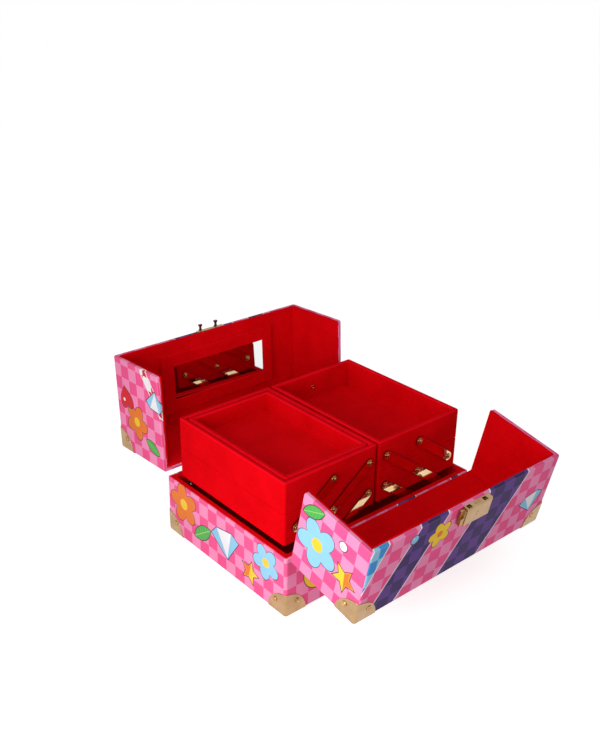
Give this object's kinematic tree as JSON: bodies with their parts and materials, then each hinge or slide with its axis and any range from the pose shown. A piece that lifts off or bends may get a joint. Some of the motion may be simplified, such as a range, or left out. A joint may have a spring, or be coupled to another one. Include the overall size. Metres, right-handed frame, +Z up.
{
  "type": "jewelry case",
  "caption": "Jewelry case with two lids that open front and back, a mirror, a latch and stacked trays that swing out on cantilever arms.",
  "frame": {"origin": "middle of the underside, where the case stands on a flat surface", "axes": "+X along the case, +Y towards the lid with the mirror, +Z up"},
  "size_m": [0.2538, 0.402, 0.1738],
  "materials": {
    "printed_leatherette": "satin",
    "velvet": "matte",
    "velvet_covered_board": "matte",
    "board": "matte",
    "felt": "matte",
    "gilt_metal": "polished",
    "spring_steel": "satin",
    "mirror": "polished"
  },
  "bodies": {
    "base": {"back_hinge_base_leaves": "gilt_metal", "base_bottom_sheet": "felt", "base_carcass": "board", "base_corner_guards": "gilt_metal", "base_cover": "printed_leatherette", "base_floor_pad": "velvet", "base_guard_rivets": "gilt_metal", "base_hinge_screws": "gilt_metal", "base_lining": "velvet", "base_pivot_screws": "gilt_metal", "base_pivot_spacers": "gilt_metal", "front_hinge_base_leaves": "gilt_metal", "hinge_pins": "gilt_metal"},
    "back_lid": {"back_hinge_lid_leaves": "gilt_metal", "back_lid_carcass": "board", "back_lid_corner_guards": "gilt_metal", "back_lid_cover": "printed_leatherette", "back_lid_guard_rivets": "gilt_metal", "back_lid_hinge_screws": "gilt_metal", "back_lid_lining": "velvet", "keeper_hooks": "gilt_metal", "keeper_plate": "gilt_metal", "keeper_rivets": "gilt_metal", "mirror_frame": "velvet_covered_board", "mirror_glass": "mirror"},
    "front_lid": {"front_hinge_lid_leaves": "gilt_metal", "front_lid_carcass": "board", "front_lid_corner_guards": "gilt_metal", "front_lid_cover": "printed_leatherette", "front_lid_guard_rivets": "gilt_metal", "front_lid_hinge_screws": "gilt_metal", "front_lid_lining": "velvet", "latch_back_plate": "gilt_metal", "latch_housing": "gilt_metal", "latch_rivets": "gilt_metal", "latch_spring": "spring_steel"},
    "latch_slide": {"latch_slide": "gilt_metal"},
    "left_tray_insert": {"left_tray_insert": "velvet_covered_board"},
    "left_back_long_arm": {"left_back_long_arm": "gilt_metal"},
    "left_back_lower_arm": {"left_back_lower_arm": "gilt_metal"},
    "left_back_upper_arm": {"left_back_upper_arm": "gilt_metal"},
    "left_front_long_arm": {"left_front_long_arm": "gilt_metal"},
    "left_front_lower_arm": {"left_front_lower_arm": "gilt_metal"},
    "left_front_upper_arm": {"left_front_upper_arm": "gilt_metal"},
    "left_lower_tray": {"left_lower_tray": "velvet_covered_board", "left_lower_tray_rivets": "gilt_metal"},
    "left_upper_tray": {"left_upper_tray": "velvet_covered_board", "left_upper_tray_rivets": "gilt_metal"},
    "right_back_long_arm": {"right_back_long_arm": "gilt_metal"},
    "right_back_lower_arm": {"right_back_lower_arm": "gilt_metal"},
    "right_back_upper_arm": {"right_back_upper_arm": "gilt_metal"},
    "right_front_long_arm": {"right_front_long_arm": "gilt_metal"},
    "right_front_lower_arm": {"right_front_lower_arm": "gilt_metal"},
    "right_front_upper_arm": {"right_front_upper_arm": "gilt_metal"},
    "right_lower_tray": {"right_lower_tray": "velvet_covered_board", "right_lower_tray_rivets": "gilt_metal"},
    "right_upper_tray": {"right_upper_tray": "velvet_covered_board", "right_upper_tray_rivets": "gilt_metal"}
  },
  "joints": [
    {"name": "back_lid_hinge", "type": "hinge", "parent": "base", "child": "back_lid", "pos_m": [0, 0.09835, 0.063], "axis": [-1, 0, 0], "range_deg": [-93, 17]},
    {"name": "front_lid_hinge", "type": "hinge", "parent": "base", "child": "front_lid", "pos_m": [0, -0.09835, 0.063], "axis": [1, 0, 0], "range_deg": [-102, 8]},
    {"name": "latch_push", "type": "slide", "parent": "front_lid", "child": "latch_slide", "axis": [1, 0, 0], "range_m": [0, 0.002], "stiffness_N_per_m": 400, "springref_m": -0.003, "deforming": ["latch_spring"]},
    {"name": "left_insert_lift", "type": "slide", "parent": "left_upper_tray", "child": "left_tray_insert", "axis": [0, 0, 1], "range_m": [0, 0.04]},
    {"name": "left_tray_swing", "type": "hinge", "parent": "base", "child": "left_front_long_arm", "pos_m": [-0.10335, 0, 0.0518], "axis": [0, -1, 0], "range_deg": [0, 84]},
    {"name": "left_back_long_arm_swing", "type": "hinge", "parent": "base", "child": "left_back_long_arm", "pos_m": [-0.10335, 0, 0.0518], "axis": [0, -1, 0], "range_deg": [0, 84]},
    {"name": "left_front_lower_arm_swing", "type": "hinge", "parent": "base", "child": "left_front_lower_arm", "pos_m": [-0.05755, 0, 0.0518], "axis": [0, -1, 0], "range_deg": [0, 84]},
    {"name": "left_back_lower_arm_swing", "type": "hinge", "parent": "base", "child": "left_back_lower_arm", "pos_m": [-0.05755, 0, 0.0518], "axis": [0, -1, 0], "range_deg": [0, 84]},
    {"name": "left_lower_tray_pivot", "type": "hinge", "parent": "left_front_long_arm", "child": "left_lower_tray", "pos_m": [-0.05755, 0, 0.0851], "axis": [0, -1, 0], "range_deg": [-84, 0]},
    {"name": "left_upper_tray_pivot", "type": "hinge", "parent": "left_front_long_arm", "child": "left_upper_tray", "pos_m": [-0.01175, 0, 0.1184], "axis": [0, -1, 0], "range_deg": [-84, 0]},
    {"name": "left_front_upper_arm_swing", "type": "hinge", "parent": "left_lower_tray", "child": "left_front_upper_arm", "pos_m": [-0.10335, 0, 0.0851], "axis": [0, -1, 0], "range_deg": [0, 84]},
    {"name": "left_back_upper_arm_swing", "type": "hinge", "parent": "left_lower_tray", "child": "left_back_upper_arm", "pos_m": [-0.10335, 0, 0.0851], "axis": [0, -1, 0], "range_deg": [0, 84]},
    {"name": "right_tray_swing", "type": "hinge", "parent": "base", "child": "right_front_long_arm", "pos_m": [0.10335, 0, 0.0518], "axis": [0, 1, 0], "range_deg": [0, 84]},
    {"name": "right_back_long_arm_swing", "type": "hinge", "parent": "base", "child": "right_back_long_arm", "pos_m": [0.10335, 0, 0.0518], "axis": [0, 1, 0], "range_deg": [0, 84]},
    {"name": "right_front_lower_arm_swing", "type": "hinge", "parent": "base", "child": "right_front_lower_arm", "pos_m": [0.05755, 0, 0.0518], "axis": [0, 1, 0], "range_deg": [0, 84]},
    {"name": "right_back_lower_arm_swing", "type": "hinge", "parent": "base", "child": "right_back_lower_arm", "pos_m": [0.05755, 0, 0.0518], "axis": [0, 1, 0], "range_deg": [0, 84]},
    {"name": "right_lower_tray_pivot", "type": "hinge", "parent": "right_front_long_arm", "child": "right_lower_tray", "pos_m": [0.05755, 0, 0.0851], "axis": [0, 1, 0], "range_deg": [-84, 0]},
    {"name": "right_upper_tray_pivot", "type": "hinge", "parent": "right_front_long_arm", "child": "right_upper_tray", "pos_m": [0.01175, 0, 0.1184], "axis": [0, 1, 0], "range_deg": [-84, 0]},
    {"name": "right_front_upper_arm_swing", "type": "hinge", "parent": "right_lower_tray", "child": "right_front_upper_arm", "pos_m": [0.10335, 0, 0.0851], "axis": [0, 1, 0], "range_deg": [0, 84]},
    {"name": "right_back_upper_arm_swing", "type": "hinge", "parent": "right_lower_tray", "child": "right_back_upper_arm", "pos_m": [0.10335, 0, 0.0851], "axis": [0, 1, 0], "range_deg": [0, 84]}
  ],
  "couplings": [
    {"joint": "left_back_long_arm_swing", "follows": "left_tray_swing", "ratio": 1},
    {"joint": "left_front_lower_arm_swing", "follows": "left_tray_swing", "ratio": 1},
    {"joint": "left_back_lower_arm_swing", "follows": "left_tray_swing", "ratio": 1},
    {"joint": "left_lower_tray_pivot", "follows": "left_tray_swing", "ratio": -1},
    {"joint": "left_upper_tray_pivot", "follows": "left_tray_swing", "ratio": -1},
    {"joint": "left_front_upper_arm_swing", "follows": "left_tray_swing", "ratio": 1},
    {"joint": "left_back_upper_arm_swing", "follows": "left_tray_swing", "ratio": 1},
    {"joint": "right_back_long_arm_swing", "follows": "right_tray_swing", "ratio": 1},
    {"joint": "right_front_lower_arm_swing", "follows": "right_tray_swing", "ratio": 1},
    {"joint": "right_back_lower_arm_swing", "follows": "right_tray_swing", "ratio": 1},
    {"joint": "right_lower_tray_pivot", "follows": "right_tray_swing", "ratio": -1},
    {"joint": "right_upper_tray_pivot", "follows": "right_tray_swing", "ratio": -1},
    {"joint": "right_front_upper_arm_swing", "follows": "right_tray_swing", "ratio": 1},
    {"joint": "right_back_upper_arm_swing", "follows": "right_tray_swing", "ratio": 1}
  ]
}
